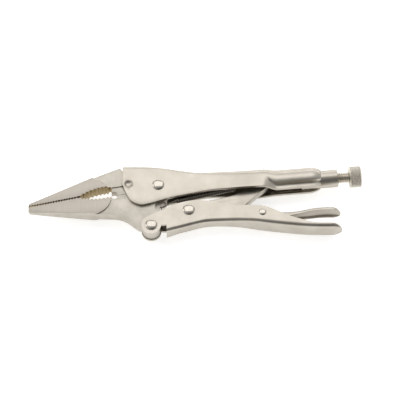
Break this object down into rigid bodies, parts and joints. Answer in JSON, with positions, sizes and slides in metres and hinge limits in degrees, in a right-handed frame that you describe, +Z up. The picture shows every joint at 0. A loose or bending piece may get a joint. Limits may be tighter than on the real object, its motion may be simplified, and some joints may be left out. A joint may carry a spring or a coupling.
{
  "type": "locking pliers",
  "caption": "Long-nose locking pliers with a toggle link, adjusting screw, release lever and wire cutter, closed and locked.",
  "frame": {"origin": "centre of the bounding box, on the plane the tool lies on", "axes": "+X from the nose tip to the adjusting screw, +Y towards the upper handle, +Z up through the thickness"},
  "size_m": [0.2336, 0.0556, 0.02],
  "materials": {
    "nickel_plate": "satin nickel plate on pressed steel",
    "nickel_forging": "satin nickel plate on forged steel, ground nose",
    "polished_rivet": "polished domed heads",
    "screw_steel": "satin, knurled and threaded",
    "spring_wire": "drawn spring wire"
  },
  "bodies": {
    "upper_handle": {"upper_handle": "nickel_plate", "threaded_collar": "nickel_plate", "fixed_jaw": "nickel_forging", "fixed_jaw_pin": "nickel_plate", "main_pivot_rivet": "polished_rivet"},
    "moving_jaw": {"moving_jaw": "nickel_forging", "tension_spring": "spring_wire"},
    "lower_handle": {"lower_handle": "nickel_plate", "jaw_handle_rivet": "polished_rivet", "link_rivet": "polished_rivet", "lever_rivet": "polished_rivet"},
    "toggle_link": {"toggle_link": "nickel_forging"},
    "release_lever": {"release_lever": "nickel_plate"},
    "adjusting_screw": {"adjusting_screw": "screw_steel"},
    "screw_knob": {"screw_knob": "screw_steel"}
  },
  "joints": [
    {"name": "jaw_pivot", "type": "hinge", "parent": "upper_handle", "child": "moving_jaw", "pos_m": [-0.02629, 0.0106, 0.01], "axis": [0, 0, 1], "range_deg": [0, 28], "deforming": ["tension_spring"]},
    {"name": "handle_pivot", "type": "hinge", "parent": "moving_jaw", "child": "lower_handle", "pos_m": [-0.03084, -0.02095, 0.01], "axis": [0, 0, 1], "range_deg": [-82, 0]},
    {"name": "link_pivot", "type": "hinge", "parent": "lower_handle", "child": "toggle_link", "pos_m": [-0.00494, -0.0088, 0.01], "axis": [0, 0, 1], "range_deg": [0, 82]},
    {"name": "lever_pivot", "type": "hinge", "parent": "lower_handle", "child": "release_lever", "pos_m": [0.04631, -0.0119, 0.01], "axis": [0, 0, 1], "range_deg": [-10, 0]},
    {"name": "screw_travel", "type": "slide", "parent": "upper_handle", "child": "adjusting_screw", "axis": [0.9959, 0.0906, 0], "range_m": [0, 0.008]},
    {"name": "knob_spin", "type": "hinge", "parent": "adjusting_screw", "child": "screw_knob", "pos_m": [0.10743, 0.01957, 0.01], "axis": [0.9959, 0.0906, 0], "range_deg": [0, 2050]}
  ],
  "couplings": [
    {"joint": "handle_pivot", "follows": "jaw_pivot", "ratio": -2.92},
    {"joint": "link_pivot", "follows": "jaw_pivot", "ratio": 2.92},
    {"joint": "knob_spin", "follows": "screw_travel", "rad_per_m": 4456.2}
  ]
}
